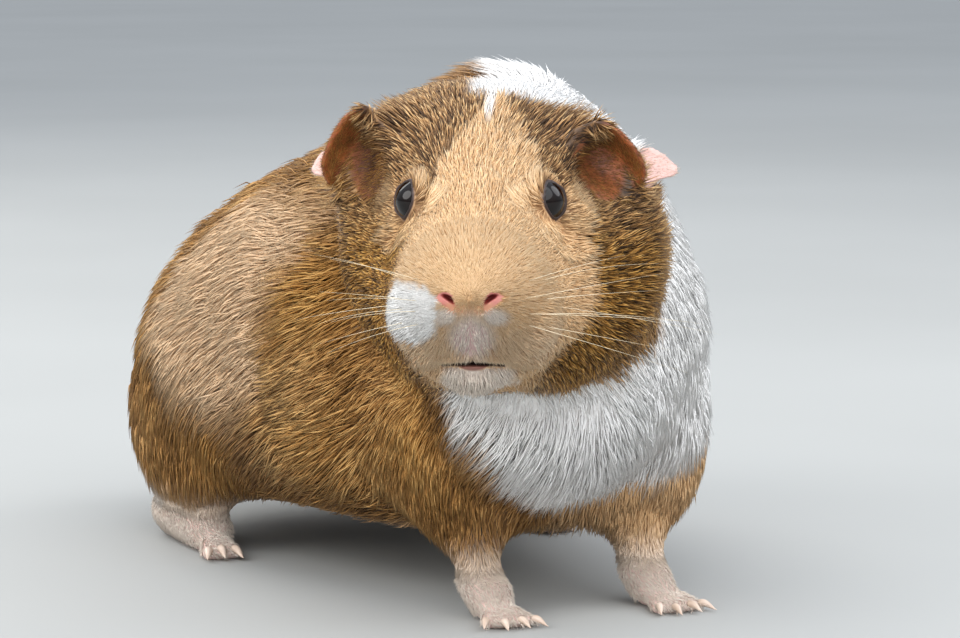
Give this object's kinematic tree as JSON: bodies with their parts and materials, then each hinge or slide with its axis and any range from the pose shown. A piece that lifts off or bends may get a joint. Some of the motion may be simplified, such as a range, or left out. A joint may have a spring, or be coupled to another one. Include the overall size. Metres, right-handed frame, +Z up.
{
  "type": "guinea pig",
  "caption": "Life-size still model of a short-haired guinea pig standing alert, neck bent and head turned to its right.",
  "frame": {"origin": "middle of the bounding box, at the level of the floor under the feet", "axes": "+Z up; the trunk lies along Y with the head at -Y and the rump at +Y; +X is the animal's left side"},
  "size_m": [0.13, 0.2592, 0.131],
  "materials": {
    "coat_buff": "soft hair, buff",
    "coat_agouti": "soft hair, brown with golden tips",
    "coat_white": "soft hair, white",
    "bare_skin": "bare pink skin, satin",
    "ear_skin": "thin bare skin, satin",
    "eye": "wet gloss"
  },
  "bodies": {
    "root": {"head": "coat_buff", "lower_jaw": "coat_white", "nose": "bare_skin", "ear_left": "ear_skin", "ear_right": "ear_skin", "eye_left": "eye", "eye_right": "eye", "neck": "coat_white", "chest": "coat_white", "trunk": "coat_buff", "rump": "coat_agouti", "foreleg_left": "coat_buff", "foreleg_right": "coat_agouti", "forefoot_left": "bare_skin", "forefoot_right": "bare_skin", "hindleg_left": "coat_agouti", "hindleg_right": "coat_agouti", "hindfoot_left": "bare_skin", "hindfoot_right": "bare_skin"}
  },
  "joints": []
}
